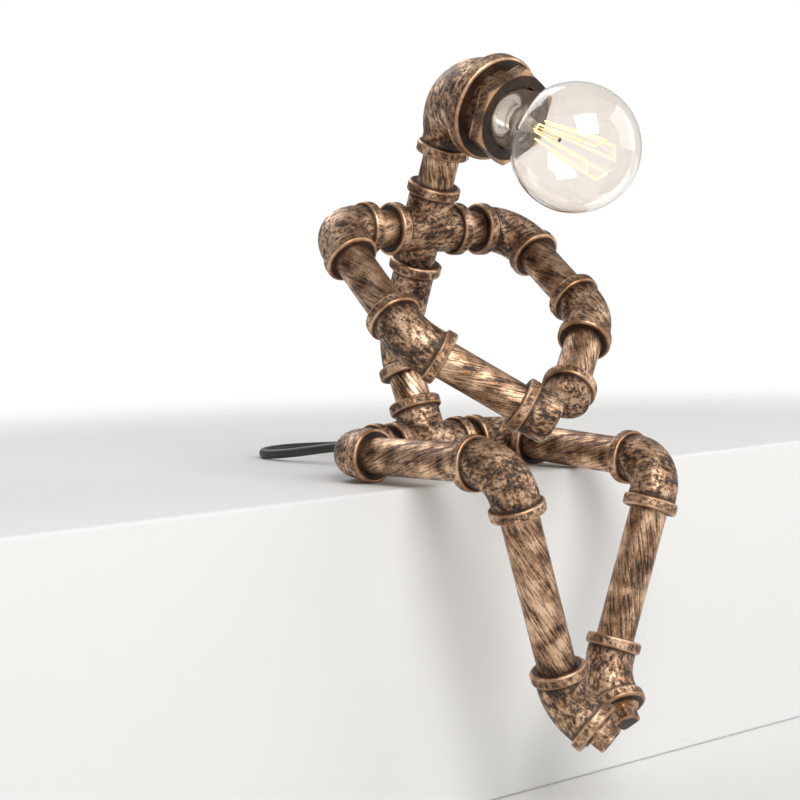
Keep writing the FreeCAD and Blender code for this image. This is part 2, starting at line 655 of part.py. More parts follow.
def make_plug(middle):
    """The two-pin plug on the end of the cord that lies along the line x = middle."""
    z = PLUG_THICK / 2
    outline = []
    for sign in (-1, 1):
        side = [V(middle + sign * PLUG_BACK / 2, PLUG_Y, 0),
                V(middle + sign * PLUG_WIDTH / 2, PLUG_Y + PLUG_TAPER, 0),
                V(middle + sign * PLUG_WAIST / 2, PLUG_Y + PLUG_LENGTH - PLUG_TAPER, 0),
                V(middle + sign * PLUG_NOSE_WIDTH / 2, PLUG_Y + PLUG_LENGTH, 0)]
        outline += side if sign < 0 else side[::-1]
    body = Part.Face(Part.makePolygon(outline + outline[:1])).extrude(Z_AXIS * PLUG_THICK)
    face = PLUG_Y + PLUG_LENGTH
    rims = [e for e in body.Edges if abs(e.Vertexes[0].Point.z - e.Vertexes[1].Point.z) < 0.1
            and PLUG_Y + 0.5 < e.CenterOfMass.y < face - 0.5]
    body = body.makeFillet(PLUG_ROUND, rims)
    body = body.cut(rod(V(middle, PLUG_Y, z), Y_AXIS, PIN_ROOT, CORD_R + CORD_FIT))
    for sign, name in ((-1, "plug_pin_a"), (1, "plug_pin_b")):
        at = V(middle + sign * PIN_PITCH / 2, face - PIN_ROOT, z)
        bare = V(at.x, face + PIN_NECK, z)
        pin = rod(at, Y_AXIS, PIN_ROOT + PIN_NECK, PIN_ROOT_OD / 2).fuse(rod(bare, Y_AXIS, PIN_LENGTH - PIN_NECK, PIN_OD / 2))
        tip = [e for e in pin.Edges if len(e.Vertexes) == 1 and e.CenterOfMass.y > face + 1]
        body = body.cut(rod(at, Y_AXIS, PIN_ROOT, PIN_ROOT_OD / 2))
        save(name, pin.makeFillet(PIN_OD / 4, tip))
        say_axis(name, V(at.x, face, z), Y_AXIS)
    save("plug_body", body)


def make_cord():
    """The whole cord, from the gland through the switch and the coil to the plug."""
    coil_start, coil_entry, coil_end, coil_leave, coil_length = make_coil()
    switch_end = SWITCH_Y + SWITCH_LENGTH
    lead = [V(0, GLAND_START + 1, GLAND.z), V(0, 36, GLAND.z), V(-1.6, 64, 12.6), V(-4.2, 94, 9.2),
            V(-6.6, 123, 5.2), V(-7, 148.4, CORD_Z + 0.15), V(2.4, 164.6, CORD_Z), V(18.6, 174, CORD_Z),
            V(37.4, 174, CORD_Z), V(53.6, 164.6, CORD_Z + 0.05), V(SWITCH_X - 0.3, 148.4, CORD_Z + 0.65),
            V(SWITCH_X, switch_end + 5.5, SWITCH_SPLIT), V(SWITCH_X, switch_end - SWITCH_GRIP, SWITCH_SPLIT)]
    link = [V(SWITCH_X, SWITCH_Y + SWITCH_GRIP, SWITCH_SPLIT), V(SWITCH_X, SWITCH_Y - 6, SWITCH_SPLIT),
            coil_start - coil_entry * 9, coil_start]
    plug_z = PLUG_THICK / 2
    tail = [coil_end, coil_end + coil_leave * (CORD_OD + 1), V(coil_end.x, PLUG_Y - 7, plug_z),
            V(coil_end.x, PLUG_Y + PIN_ROOT, plug_z)]
    total = coil_length + cord_tube("cord_lead", lead) + cord_tube("cord_link", link)
    total += cord_tube("cord_tail", tail)
    print("cord length in all %.0f" % total)
    make_plug(coil_end.x)


# Places and directions along the figure
PELVIS = V(0, 0, BEAD_R)
GLAND = PELVIS - Z_AXIS * GLAND_DROP
WAIST_AXIS = V(0, deg_sin(WAIST_LEAN), deg_cos(WAIST_LEAN))
BEND_POINT = PELVIS + WAIST_AXIS * (END_SQUARE + WAIST_GAP + SPINE_LOWER)
UPPER_AXIS = turned(WAIST_AXIS, Y_AXIS * -1, SPINE_TWIST, SPINE_TURN)
CHEST = BEND_POINT + UPPER_AXIS * (SPINE_UPPER + CHEST_SPIGOT)
LEVEL = square_to(X_AXIS, UPPER_AXIS)
ACROSS = LEVEL * deg_cos(CHEST_TWIST) + UPPER_AXIS.cross(LEVEL) * deg_sin(CHEST_TWIST)
CHEST_FRONT = UPPER_AXIS.cross(ACROSS) * -1
HEAD = CHEST + UPPER_AXIS * (END_SQUARE + NECK_GAP + HEAD_RISE)
GAZE = CHEST_FRONT * deg_cos(HEAD_TWIST) + ACROSS * deg_sin(HEAD_TWIST)
HEAD_SIDE = UPPER_AXIS.cross(GAZE)


def make_trunk():
    """The pelvis tee, the spine, the chest cross and the neck pipe."""
    waist_face = PELVIS + WAIST_AXIS * END_SQUARE
    bend_face = waist_face + WAIST_AXIS * WAIST_GAP
    chest_seat = BEND_POINT + UPPER_AXIS * SPINE_UPPER
    neck_face = CHEST + UPPER_AXIS * END_SQUARE
    arms = [(X_AXIS, END_SQUARE), (X_AXIS * -1, END_SQUARE), (WAIST_AXIS, END_SQUARE)]
    save("pelvis_tee", branches(PELVIS, arms).cut(make_gland()))
    save("waist_pipe", pipe_between(waist_face, bend_face))
    save("spine_bend", elbow(BEND_POINT, WAIST_AXIS * -1, UPPER_AXIS, (SPINE_LOWER, SPINE_UPPER),
                             SPINE_BEND, SPINE_BODY_OD / 2))
    arms = [(ACROSS, CHEST_SIDE), (ACROSS * -1, CHEST_SIDE), (UPPER_AXIS, END_SQUARE)]
    save("chest_cross", branches(CHEST, arms, (UPPER_AXIS * -1, CHEST_SPIGOT)))
    save("neck_pipe", pipe_between(neck_face, neck_face + UPPER_AXIS * NECK_GAP))
    say_axis("waist", bend_face, WAIST_AXIS)
    say_axis("chest", chest_seat, UPPER_AXIS)


make_trunk()
make_leg("near", -1, THIGH_NEAR, THIGH_DIP_NEAR, KNEE_IN_NEAR, SHIN_NEAR, TOE_TURN_NEAR)
make_leg("far", 1, THIGH_FAR, THIGH_DIP_FAR, KNEE_IN_FAR, SHIN_FAR, TOE_TURN_FAR)
make_arm("near", -1, SHOULDER_DROP_NEAR, UPPER_ARM_NEAR, ELBOW_TWIST_NEAR, FOREARM_NEAR, CAP_NEAR)
make_arm("far", 1, SHOULDER_DROP_FAR, UPPER_ARM_FAR, ELBOW_TWIST_FAR, FOREARM_FAR, CAP_FAR)
make_bulb(make_holder(make_head()))
make_switch()
make_cord()
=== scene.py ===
import logging
import math
from dataclasses import dataclass, field
from enum import Enum

import bpy
from mathutils import Matrix, Vector


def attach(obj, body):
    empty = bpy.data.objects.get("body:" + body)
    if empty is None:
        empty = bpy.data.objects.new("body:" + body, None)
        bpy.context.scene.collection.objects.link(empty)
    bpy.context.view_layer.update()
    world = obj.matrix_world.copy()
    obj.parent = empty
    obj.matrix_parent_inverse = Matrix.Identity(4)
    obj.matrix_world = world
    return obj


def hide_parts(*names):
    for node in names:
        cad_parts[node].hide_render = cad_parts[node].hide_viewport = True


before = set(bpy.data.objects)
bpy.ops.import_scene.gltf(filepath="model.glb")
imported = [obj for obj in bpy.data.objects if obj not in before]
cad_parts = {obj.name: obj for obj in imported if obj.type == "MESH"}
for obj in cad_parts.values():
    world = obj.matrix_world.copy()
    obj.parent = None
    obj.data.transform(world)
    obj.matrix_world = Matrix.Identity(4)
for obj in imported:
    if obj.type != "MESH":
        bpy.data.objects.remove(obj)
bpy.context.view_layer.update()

log = logging.getLogger("figure_lamp")
Colour = tuple[float, float, float, float]
MM = 0.001
BEAD = (6.5 * MM, 15.5 * MM)
SPECIAL_BEADS = {
    "head_elbow": {1: (9.0 * MM, 30.25 * MM)},
    "hex_bushing": {0: (8.2 * MM, 26.2 * MM)},
    "toe_plug_near": {0: (8.5 * MM, 8.0 * MM)},
    "toe_plug_far": {0: (8.5 * MM, 8.0 * MM)},
}
DARK_PIECES = ("hex_bushing", "toe_plug_near", "toe_plug_far")
X_AXIS = Vector((1.0, 0.0, 0.0))
Y_AXIS = Vector((0.0, 1.0, 0.0))
Z_AXIS = Vector((0.0, 0.0, 1.0))


class Side(Enum):
    """The two sides of the figure; the value is the way along X."""

    NEAR = -1
    FAR = 1


class Grime(Enum):
    """How the bronze was rubbed bright after painting: share covered, grain size and stretch."""

    PIPE = (0.520, 760.0, 0.11)
    CASTING = (0.502, 430.0, 0.60)
    DARK_CASTING = (0.480, 430.0, 0.60)


@dataclass(frozen=True)
class LegSizes:
    """The sizes of one leg, in millimetres and degrees."""

    thigh: float
    dip: float
    knee_in: float
    shin: float
    toe_turn: float


@dataclass(frozen=True)
class ArmSizes:
    """The sizes of one arm, in millimetres and degrees."""

    drop: float
    upper: float
    twist: float
    fore: float


@dataclass(frozen=True)
class Port:
    """An open end of a fitting: the middle of its face, and the way out of the fitting."""

    face: Vector
    out: Vector


def square_to(v: Vector, axis: Vector) -> Vector:
    """The part of v that is square to axis, with length one."""
    return (v - axis * v.dot(axis)).normalized()


def turned(axis: Vector, toward: Vector, twist: float, angle: float) -> Vector:
    """Bend a direction toward another one.

    Args:
        axis: The direction that is bent.
        toward: The direction that it bends to.
        twist: How far the bend itself is turned about axis, in degrees.
        angle: How far it bends, in degrees.

    Returns:
        The bent direction.
    """
    side = square_to(toward, axis)
    t = math.radians(twist)
    bent = side * math.cos(t) + axis.cross(side) * math.sin(t)
    return axis * math.cos(math.radians(angle)) + bent * math.sin(math.radians(angle))


@dataclass
class Skeleton:
    """The lines that the pipes and fittings follow, in metres."""

    square: float = 28.0 * MM
    half: float = 22.0 * MM
    bead_radius: float = 15.5 * MM
    hip_gap: float = 7.5 * MM
    shoulder_gap: float = 12.9 * MM
    chest_side: float = 26.0 * MM
    waist_lean: float = 21.6
    waist_gap: float = 16.0 * MM
    spine_lower: float = 21.0 * MM
    spine_upper: float = 53.0 * MM
    spine_twist: float = -1.7
    chest_spigot: float = 20.2 * MM
    chest_twist: float = -4.1
    neck_gap: float = 17.8 * MM
    head_rise: float = 39.0 * MM
    head_reach: float = 34.7 * MM
    head_twist: float = 4.8
    bushing_end: float = 49.9 * MM
    plug_end: float = 9.7 * MM
    square_turn: float = 90.0
    half_turn: float = 45.0
    legs: dict[Side, LegSizes] = field(default_factory=lambda: {
        Side.NEAR: LegSizes(thigh=77.0, dip=0.0, knee_in=17.0, shin=88.0, toe_turn=-15.5),
        Side.FAR: LegSizes(thigh=72.0, dip=4.0, knee_in=19.5, shin=74.0, toe_turn=6.5)})
    arms: dict[Side, ArmSizes] = field(default_factory=lambda: {
        Side.NEAR: ArmSizes(drop=17.6, upper=44.8, twist=-6.1, fore=46.0),
        Side.FAR: ArmSizes(drop=13.9, upper=38.1, twist=21.9, fore=35.2)})
    ports: dict[str, list[Port]] = field(default_factory=dict)
    pipes: dict[str, tuple[Vector, Vector]] = field(default_factory=dict)

    def pipe(self, name: str, start: Vector, end: Vector) -> None:
        """Note where a pipe runs.

        Args:
            name: The pipe's name.
            start: A point on its axis.
            end: A later point on its axis.
        """
        self.pipes[name] = (start, (end - start).normalized())

    def trunk(self) -> None:
        """Lay out the pelvis, the spine, the chest, the neck and the head."""
        lean = math.radians(self.waist_lean)
        self.pelvis = Z_AXIS * self.bead_radius
        waist = Vector((0.0, math.sin(lean), math.cos(lean)))
        bend = self.pelvis + waist * (self.square + self.waist_gap + self.spine_lower)
        self.upper = turned(waist, -Y_AXIS, self.spine_twist, self.half_turn)
        self.chest = bend + self.upper * (self.spine_upper + self.chest_spigot)
        level = square_to(X_AXIS, self.upper)
        t = math.radians(self.chest_twist)
        self.across = level * math.cos(t) + self.upper.cross(level) * math.sin(t)
        self.front = -self.upper.cross(self.across)
        self.head = self.chest + self.upper * (self.square + self.neck_gap + self.head_rise)
        t = math.radians(self.head_twist)
        self.gaze = self.front * math.cos(t) + self.across * math.sin(t)
        self.ports["pelvis_tee"] = [
            Port(self.pelvis + d * self.square, d) for d in (X_AXIS, -X_AXIS, waist)]
        self.pipe("waist_pipe", self.pelvis + waist * self.square, bend)
        self.ports["spine_bend"] = [Port(bend - waist * self.spine_lower, -waist),
                                    Port(bend + self.upper * self.spine_upper, self.upper)]
        self.ports["chest_cross"] = [
            Port(self.chest + d * self.chest_side, d) for d in (self.across, -self.across)]
        self.ports["chest_cross"].append(Port(self.chest + self.upper * self.square, self.upper))
        self.pipe("neck_pipe", self.chest, self.head)
        self.ports["head_elbow"] = [Port(self.head - self.upper * self.head_rise, -self.upper),
                                    Port(self.head + self.gaze * self.head_reach, self.gaze)]
        self.ports["hex_bushing"] = [Port(self.head + self.gaze * self.bushing_end, self.gaze)]

    def leg(self, side: Side) -> None:
        """Lay out one leg."""
        sizes = self.legs[side]
        s, n = side.value, side.name.lower()
        out = X_AXIS * s
        hip = self.pelvis + out * (2 * self.square + self.hip_gap)
        d = math.radians(sizes.dip)
        forward = Vector((0.0, -math.cos(d), -math.sin(d)))
        knee = hip + forward * (2 * self.square + sizes.thigh * MM)
        down = turned(forward, -Z_AXIS, -sizes.knee_in * s, self.square_turn)
        ankle = knee + down * (self.square + self.half + sizes.shin * MM)
        toe = turned(down, -Y_AXIS, -sizes.toe_turn * s, self.half_turn)
        self.pipe("hip_nipple_" + n, self.pelvis, hip)
        self.pipe("thigh_pipe_" + n, hip, knee)
        self.pipe("shin_pipe_" + n, knee, ankle)
        self.ports["hip_elbow_" + n] = [Port(hip - out * self.square, -out),
                                        Port(hip + forward * self.square, forward)]
        self.ports["knee_elbow_" + n] = [Port(knee - forward * self.square, -forward),
                                         Port(knee + down * self.square, down)]
        self.ports["ankle_elbow_" + n] = [Port(ankle - down * self.half, -down),
                                          Port(ankle + toe * self.half, toe)]
        self.ports["toe_plug_" + n] = [Port(ankle + toe * (self.half + self.plug_end), toe)]

    def arm(self, side: Side) -> None:
        """Lay out one arm."""
        sizes = self.arms[side]
        s, n = side.value, side.name.lower()
        out = self.across * s
        shoulder = self.chest + out * (self.chest_side + self.shoulder_gap + self.square)
        d = math.radians(sizes.drop)
        arm = self.front * math.cos(d) - self.upper * math.sin(d)
        elbow = shoulder + arm * (self.square + self.half + sizes.upper * MM)
        lower = turned(arm, -out, sizes.twist, self.half_turn)
        wrist = elbow + lower * (self.half + sizes.fore * MM)
        self.pipe("shoulder_nipple_" + n, self.chest, shoulder)
        self.pipe("upper_arm_pipe_" + n, shoulder, elbow)
        self.pipe("forearm_pipe_" + n, elbow, wrist)
        self.ports["shoulder_elbow_" + n] = [Port(shoulder - out * self.square, -out),
                                             Port(shoulder + arm * self.square, arm)]
        self.ports["arm_elbow_" + n] = [Port(elbow - arm * self.half, -arm),
                                        Port(elbow + lower * self.half, lower)]
        self.ports["hand_cap_" + n] = [Port(wrist, -lower)]

    def lay_out(self) -> "Skeleton":
        """Lay out the whole figure and return it."""
        self.trunk()
        for side in Side:
            self.leg(side)
            self.arm(side)
        return self


class Graph:
    """A node tree that is written in short calls."""

    def __init__(self, tree: bpy.types.NodeTree) -> None:
        """Start with an empty tree."""
        self.tree = tree
        self.tree.nodes.clear()

    def node(self, kind: str, **values: object) -> bpy.types.Node:
        """Add a node.

        Args:
            kind: The node's Blender type.
            values: Attributes of the node.

        Returns:
            The new node.
        """
        node = self.tree.nodes.new(kind)
        for key, value in values.items():
            setattr(node, key, value)
        return node

    def feed(self, target: bpy.types.NodeSocket, value: object) -> None:
        """Link a socket to target, or set its value."""
        if isinstance(value, bpy.types.NodeSocket):
            self.tree.links.new(value, target)
        else:
            target.default_value = value

    def maths(self, operation: str, *values: object, clamp: bool = False) -> bpy.types.NodeSocket:
        """The result of a Math node."""
        node = self.node("ShaderNodeMath", operation=operation, use_clamp=clamp)
        for socket, value in zip(node.inputs, values):
            self.feed(socket, value)
        return node.outputs[0]

    def vector(self, operation: str, *values: object) -> bpy.types.Node:
        """A Vector Math node."""
        node = self.node("ShaderNodeVectorMath", operation=operation)
        for socket, value in zip(node.inputs, values):
            self.feed(socket, value)
        return node

    def band(self, value: object, low: float, high: float) -> bpy.types.NodeSocket:
        """A smooth step, which may run either way.

        Args:
            value: What is measured.
            low: Where the step is 0.
            high: Where the step is 1.

        Returns:
            The step.
        """
        node = self.node("ShaderNodeMapRange", interpolation_type="SMOOTHSTEP")
        self.feed(node.inputs["Value"], value)
        first, last = (0.0, 1.0) if low < high else (1.0, 0.0)
        for name, number in (("From Min", min(low, high)), ("From Max", max(low, high)),
                             ("To Min", first), ("To Max", last)):
            node.inputs[name].default_value = number
        return node.outputs["Result"]

    def mix(self, share: object, first: object, second: object) -> bpy.types.NodeSocket:
        """A blend of two colours.

        Args:
            share: How much of the second colour shows.
            first: The first colour.
            second: The second colour.

        Returns:
            The blend.
        """
        node = self.node("ShaderNodeMix", data_type="RGBA")
        self.feed(node.inputs[0], share)
        self.feed(node.inputs[6], first)
        self.feed(node.inputs[7], second)
        return node.outputs[2]

    def noise(self, place: object, scale: object, detail: float, rough: float) -> bpy.types.NodeSocket:
        """The value of a Noise Texture.

        Args:
            place: Where it is measured.
            scale: Its scale, as a socket or a number.
            detail: How many finer layers it has.
            rough: How strong those layers are.

        Returns:
            The value.
        """
        node = self.node("ShaderNodeTexNoise")
        self.feed(node.inputs["Vector"], place)
        self.feed(node.inputs["Scale"], scale)
        self.feed(node.inputs["Detail"], detail)
        self.feed(node.inputs["Roughness"], rough)
        return node.outputs["Fac"]


class Effects:
    """The shader node groups that several finishes share."""

    def __init__(self) -> None:
        """Build every group once."""
        self.patina = self.make_patina()
        self.bead = self.make_bead()
        self.grain = self.make_grain()

    @staticmethod
    def start(name: str, inputs: dict[str, object], outputs: list[str]) -> tuple[Graph, dict, dict]:
        """Make a group with named sockets.

        Args:
            name: The group's name.
            inputs: Socket names, each with a number or a vector as its first value.
            outputs: The names of the numbers that come out.

        Returns:
            The graph, its input sockets by name, and its output sockets by name.
        """
        tree = bpy.data.node_groups.new(name, "ShaderNodeTree")
        for key, value in inputs.items():
            kind = "NodeSocketVector" if isinstance(value, tuple) else "NodeSocketFloat"
            tree.interface.new_socket(key, in_out="INPUT", socket_type=kind).default_value = value
        for key in outputs:
            tree.interface.new_socket(key, in_out="OUTPUT", socket_type="NodeSocketFloat")
        graph = Graph(tree)
        given = graph.node("NodeGroupInput")
        result = graph.node("NodeGroupOutput")
        return graph, {s.name: s for s in given.outputs}, {s.name: s for s in result.inputs}

    def make_patina(self) -> bpy.types.NodeTree:
        """Dry-brushed metal paint: streaks wind round the local Z axis."""
        g, given, result = self.start(
            "dry_brush", {"Place": (0.0, 0.0, 0.0), "Cover": 0.5, "Scale": 200.0, "Stretch": 0.1, "Twist": 55.0},
            ["Bright", "Tone", "Height"])
        parts = g.node("ShaderNodeSeparateXYZ")
        g.feed(parts.inputs[0], given["Place"])
        spin = g.node("ShaderNodeVectorRotate", rotation_type="Z_AXIS")
        g.feed(spin.inputs["Vector"], given["Place"])
        g.feed(spin.inputs["Angle"], g.maths("MULTIPLY", parts.outputs[2], given["Twist"]))
        shape = g.node("ShaderNodeCombineXYZ")
        shape.inputs[0].default_value = 1.0
        shape.inputs[1].default_value = 1.0
        g.feed(shape.inputs[2], given["Stretch"])
        drawn = g.vector("MULTIPLY", spin.outputs[0], shape.outputs[0]).outputs[0]
        fine = g.noise(drawn, given["Scale"], 7.0, 0.72)
        broad = g.noise(given["Place"], 75.0, 3.0, 0.55)
        speck = g.noise(given["Place"], 900.0, 3.0, 0.6)
        total = g.maths("ADD", g.maths("MULTIPLY", fine, 0.66), g.maths("MULTIPLY", broad, 0.22))
        total = g.maths("ADD", total, g.maths("MULTIPLY", speck, 0.12))
        level = g.maths("SUBTRACT", total, g.maths("SUBTRACT", 1.0, given["Cover"]))
        g.feed(result["Bright"], g.band(level, -0.060, 0.090))
        g.feed(result["Tone"], g.band(broad, 0.33, 0.68))
        height = g.maths("ADD", g.maths("MULTIPLY", fine, 0.7), g.maths("MULTIPLY", speck, 0.3))
        g.feed(result["Height"], height)
        return g.tree

    def make_bead(self) -> bpy.types.NodeTree:
        """Where a point lies on the bead at the end of a fitting; the rim mask stands for rubbed wear plus a
        painted highlight.
        """
        g, given, result = self.start(
            "bead_band", {"Place": (0.0, 0.0, 0.0), "Face": (0.0, 0.0, 0.0), "Out": (0.0, 0.0, 1.0),
                          "Length": 0.0065, "Radius": 0.0155}, ["Band", "Edge", "End", "Crevice"])
        offset = g.vector("SUBTRACT", given["Place"], given["Face"]).outputs[0]
        depth = g.maths("MULTIPLY", g.vector("DOT_PRODUCT", offset, given["Out"]).outputs["Value"], -1.0)
        around = g.vector("CROSS_PRODUCT", offset, given["Out"]).outputs[0]
        radius = g.vector("LENGTH", around).outputs["Value"]
        inset = g.maths("SUBTRACT", given["Radius"], radius)
        near = g.band(g.maths("ABSOLUTE", inset), 0.0030, 0.0024)
        within = g.band(g.maths("SUBTRACT", depth, given["Length"]), 0.0004, 0.0)
        ahead = g.band(depth, -0.002, -0.001)
        band = g.maths("MULTIPLY", g.maths("MULTIPLY", near, within), ahead)
        end = g.maths("MULTIPLY", g.band(depth, 0.0003, 0.0001), g.band(inset, 0.0009, 0.0016))
        end = g.maths("MULTIPLY", g.maths("MULTIPLY", end, ahead), g.band(inset, 0.012, 0.010))
        front = g.band(depth, 0.0019, 0.0009)
        back = g.band(g.maths("SUBTRACT", given["Length"], depth), 0.0019, 0.0009)
        # Bead rims: rubbed wear plus a painted highlight.
        rim = g.maths("MULTIPLY", g.maths("MAXIMUM", front, back), g.band(inset, 0.0022, 0.0014))
        past = g.maths("SUBTRACT", depth, given["Length"])
        crevice = g.maths("MULTIPLY", g.band(past, -0.0002, 0.0001), g.band(past, 0.0030, 0.0006))
        crevice = g.maths("MULTIPLY", crevice, g.maths("MULTIPLY", g.band(inset, 0.0004, 0.0010),
                                                       g.band(inset, 0.0080, 0.0070)))
        g.feed(result["Crevice"], crevice)
        g.feed(result["Band"], band)
        g.feed(result["Edge"], g.maths("MULTIPLY", rim, band))
        g.feed(result["End"], g.maths("MULTIPLY", end, g.maths("SUBTRACT", 1.0, rim)))
        return g.tree

    def make_grain(self) -> bpy.types.NodeTree:
        """Fine grain and handling marks of a moulded or turned surface."""
        g, given, result = self.start("fine_grain", {"Place": (0.0, 0.0, 0.0), "Scale": 900.0},
                                      ["Grain", "Marks"])
        g.feed(result["Grain"], g.noise(given["Place"], given["Scale"], 3.0, 0.6))
        g.feed(result["Marks"], g.noise(given["Place"], 60.0, 4.0, 0.65))
        return g.tree

    @staticmethod
    def place(g: Graph, group: bpy.types.NodeTree, **values: object) -> bpy.types.Node:
        """Put a group into a material with its own values."""
        node = g.node("ShaderNodeGroup", node_tree=group)
        for key, value in values.items():
            g.feed(node.inputs[key], value)
        return node


def new_material(name: str) -> tuple[bpy.types.Material, Graph, bpy.types.Node]:
    """Make a material with a Principled shader.

    Args:
        name: The material's name.

    Returns:
        The material, its graph and the shader node.
    """
    material = bpy.data.materials.new(name)
    material.use_nodes = True
    g = Graph(material.node_tree)
    shader = g.node("ShaderNodeBsdfPrincipled")
    out = g.node("ShaderNodeOutputMaterial")
    g.tree.links.new(shader.outputs[0], out.inputs["Surface"])
    return material, g, shader


def add_bump(g: Graph, shader: bpy.types.Node, height: object, distance: float) -> None:
    """Give a shader a bump.

    Args:
        g: The material's graph.
        shader: The shader node.
        height: The height, as a socket or a number.
        distance: What a height of one stands for, in metres.
    """
    bump = g.node("ShaderNodeBump")
    bump.inputs["Distance"].default_value = distance
    bump.inputs["Strength"].default_value = 1.0
    g.feed(bump.inputs["Height"], height)
    g.feed(shader.inputs["Normal"], bump.outputs[0])


@dataclass(frozen=True)
class AntiqueBronze:
    """Black-brown paint, rubbed over with copper and pale gold, with a painted highlight on the bead rims."""

    grime: Grime
    dark: Colour = (0.014, 0.0080, 0.0055, 1.0)
    copper: Colour = (0.105, 0.045, 0.020, 1.0)
    gold: Colour = (0.46, 0.235, 0.118, 1.0)
    pale: Colour = (0.86, 0.59, 0.39, 1.0)
    pipe_twist: float = 34.0
    casting_twist: float = 12.0
    pipe_depth: float = 0.16 * MM
    casting_depth: float = 0.34 * MM

    def build(self, name: str, effects: Effects, origin: Vector, axis: Vector, ports: list[Port],
              beads: dict[int, tuple[float, float]]) -> bpy.types.Material:
        """Make the finish for one piece.

        Args:
            name: The material's name.
            effects: The shared groups.
            origin: A point on the piece's own axis.
            axis: The direction of that axis.
            ports: The beads that are rubbed bright, their rims also given a painted highlight.
            beads: Length and radius of the beads that differ from the rest, by their place in ports.

        Returns:
            The material.
        """
        material, g, shader = new_material(name)
        cover, scale, stretch = self.grime.value
        place = g.node("ShaderNodeTexCoord").outputs["Object"]
        local = g.node("ShaderNodeMapping", vector_type="TEXTURE")
        g.feed(local.inputs["Vector"], place)
        local.inputs["Location"].default_value = origin
        local.inputs["Rotation"].default_value = axis.to_track_quat("Z", "Y").to_euler()
        is_pipe = self.grime is Grime.PIPE
        brush = effects.place(g, effects.patina, Place=local.outputs[0], Cover=cover, Scale=scale,
                              Stretch=stretch, Twist=self.pipe_twist if is_pipe else self.casting_twist)
        base = g.mix(g.maths("MULTIPLY", brush.outputs["Tone"], 0.55), self.dark, self.copper)
        bright = g.mix(brush.outputs["Tone"], self.gold, self.pale)
        band, edge, end = 0.0, 0.0, 0.0
        for k, port in enumerate(ports):
            length, radius = beads.get(k, BEAD)
            ring = effects.place(g, effects.bead, Place=place, Face=port.face, Out=port.out,
                                 Length=length, Radius=radius)
            band = g.maths("MAXIMUM", band, ring.outputs["Band"])
            edge = g.maths("MAXIMUM", edge, ring.outputs["Edge"])
            end = g.maths("MAXIMUM", end, g.maths("MAXIMUM", ring.outputs["End"],
                                                  g.maths("MULTIPLY", ring.outputs["Crevice"], 0.85)))
        share = brush.outputs["Bright"]
        if ports:
            lift = g.maths("MULTIPLY", band, g.band(brush.outputs["Height"], 0.40, 0.60))
            share = g.maths("MAXIMUM", share, g.maths("MULTIPLY", lift, 0.60))
            # The bead rims go gold: partly rubbed wear, partly a painted highlight.
            share = g.maths("MAXIMUM", share, g.maths("MULTIPLY", edge, 0.80))
            share = g.maths("MULTIPLY", share, g.maths("SUBTRACT", 1.0, end))
        colour = g.mix(share, base, bright)
        g.feed(shader.inputs["Base Color"], colour)
        g.feed(shader.inputs["Metallic"], g.band(share, -0.5, 0.8))
        rough = g.maths("SUBTRACT", 0.43, g.maths("MULTIPLY", share, 0.13))
        rough = g.maths("ADD", rough, g.maths("MULTIPLY", brush.outputs["Tone"], 0.06))
        g.feed(shader.inputs["Roughness"], rough)
        height = g.maths("ADD", brush.outputs["Height"], g.maths("MULTIPLY", share, 0.25))
        add_bump(g, shader, height, self.pipe_depth if is_pipe else self.casting_depth)
        return material


@dataclass(frozen=True)
class Moulded:
    """A smooth moulded or turned surface with a fine grain."""

    colour: Colour
    roughness: float
    metallic: float = 0.0
    grain_depth: float = 0.03 * MM

    def build(self, name: str, effects: Effects) -> bpy.types.Material:
        """Make the finish.

        Args:
            name: The material's name.
            effects: The shared groups.

        Returns:
            The material.
        """
        material, g, shader = new_material(name)
        place = g.node("ShaderNodeTexCoord").outputs["Object"]
        grain = effects.place(g, effects.grain, Place=place, Scale=1400.0)
        worn = tuple(min(1.0, c * 1.5 + 0.012) for c in self.colour[:3]) + (1.0,)
        marks = g.band(grain.outputs["Marks"], 0.45, 0.8)
        g.feed(shader.inputs["Base Color"], g.mix(marks, self.colour, worn))
        rough = g.maths("ADD", self.roughness - 0.06, g.maths("MULTIPLY", grain.outputs["Marks"], 0.14))
        g.feed(shader.inputs["Roughness"], rough)
        shader.inputs["Metallic"].default_value = self.metallic
        add_bump(g, shader, grain.outputs["Grain"], self.grain_depth)
        return material


@dataclass(frozen=True)
class PaleStage:
    """The plain pale surface under the figure, which fades to white far away."""

    colour: Colour = (0.74, 0.735, 0.72, 1.0)
    white: Colour = (1.0, 1.0, 1.0, 1.0)
    near: float = 0.40
    far: float = 0.85

    def build(self, name: str, effects: Effects) -> bpy.types.Material:
        """Make the finish.

        Args:
            name: The material's name.
            effects: The shared groups.

        Returns:
            The material.
        """
        material, g, shader = new_material(name)
        place = g.node("ShaderNodeTexCoord").outputs["Object"]
        grain = effects.place(g, effects.grain, Place=place, Scale=1400.0)
        shader.inputs["Base Color"].default_value = self.colour
        rough = g.maths("ADD", 0.75, g.maths("MULTIPLY", grain.outputs["Marks"], 0.05))
        g.feed(shader.inputs["Roughness"], rough)
        path = g.node("ShaderNodeLightPath")
        seen = g.maths("MAXIMUM", path.outputs["Is Camera Ray"], path.outputs["Is Transmission Ray"])
        seen = g.maths("MAXIMUM", seen, path.outputs["Is Glossy Ray"])
        away = g.band(g.vector("LENGTH", place).outputs["Value"], self.near, self.far)
        glow = g.node("ShaderNodeEmission")
        glow.inputs["Color"].default_value = self.white
        blend = g.node("ShaderNodeMixShader")
        g.feed(blend.inputs[0], g.maths("MULTIPLY", seen, away))
        g.tree.links.new(shader.outputs[0], blend.inputs[1])
        g.tree.links.new(glow.outputs[0], blend.inputs[2])
        out = next(node for node in g.tree.nodes if node.bl_idname == "ShaderNodeOutputMaterial")
        g.tree.links.new(blend.outputs[0], out.inputs["Surface"])
        return material


